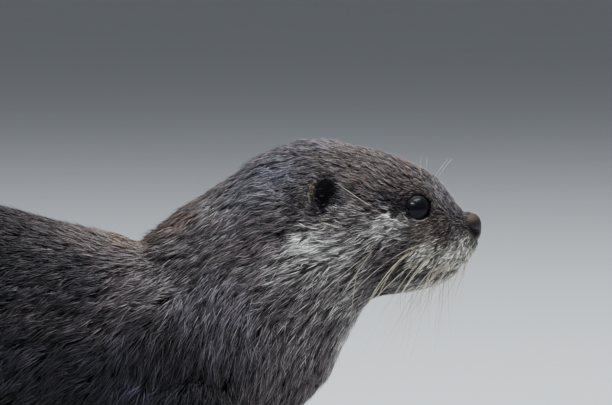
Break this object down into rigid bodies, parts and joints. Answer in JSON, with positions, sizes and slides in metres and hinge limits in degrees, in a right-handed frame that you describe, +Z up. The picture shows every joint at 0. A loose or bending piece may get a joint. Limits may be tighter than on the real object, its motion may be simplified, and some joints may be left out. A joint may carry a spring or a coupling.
{
  "type": "asian small-clawed otter",
  "caption": "Life-size still model of an Asian small-clawed otter standing on four feet, head raised on an upright neck, back arched and tail held out behind.",
  "frame": {"origin": "middle of the model's bounding box, at the level of the soles", "axes": "+X towards the nose, +Z up, and the animal's right side towards -Y"},
  "size_m": [0.696, 0.1202, 0.1798],
  "materials": {
    "coat": "matte",
    "throat": "matte",
    "bare_skin": "satin",
    "eye": "gloss",
    "whisker": "satin"
  },
  "bodies": {
    "root": {"muzzle": "coat", "head": "coat", "lower_jaw": "throat", "nose": "bare_skin", "eye_left": "eye", "eye_right": "eye", "ear_left": "coat", "ear_right": "coat", "neck": "coat", "shoulders": "coat", "barrel": "coat", "hips": "coat", "tail_base": "coat", "tail_middle": "coat", "tail_tip": "coat", "foreleg_upper_left": "coat", "foreleg_upper_right": "coat", "forearm_left": "coat", "forearm_right": "coat", "forepaw_left": "coat", "forepaw_right": "coat", "thigh_left": "coat", "thigh_right": "coat", "shank_left": "coat", "shank_right": "coat", "hind_foot_left": "coat", "hind_foot_right": "coat"}
  },
  "joints": []
}
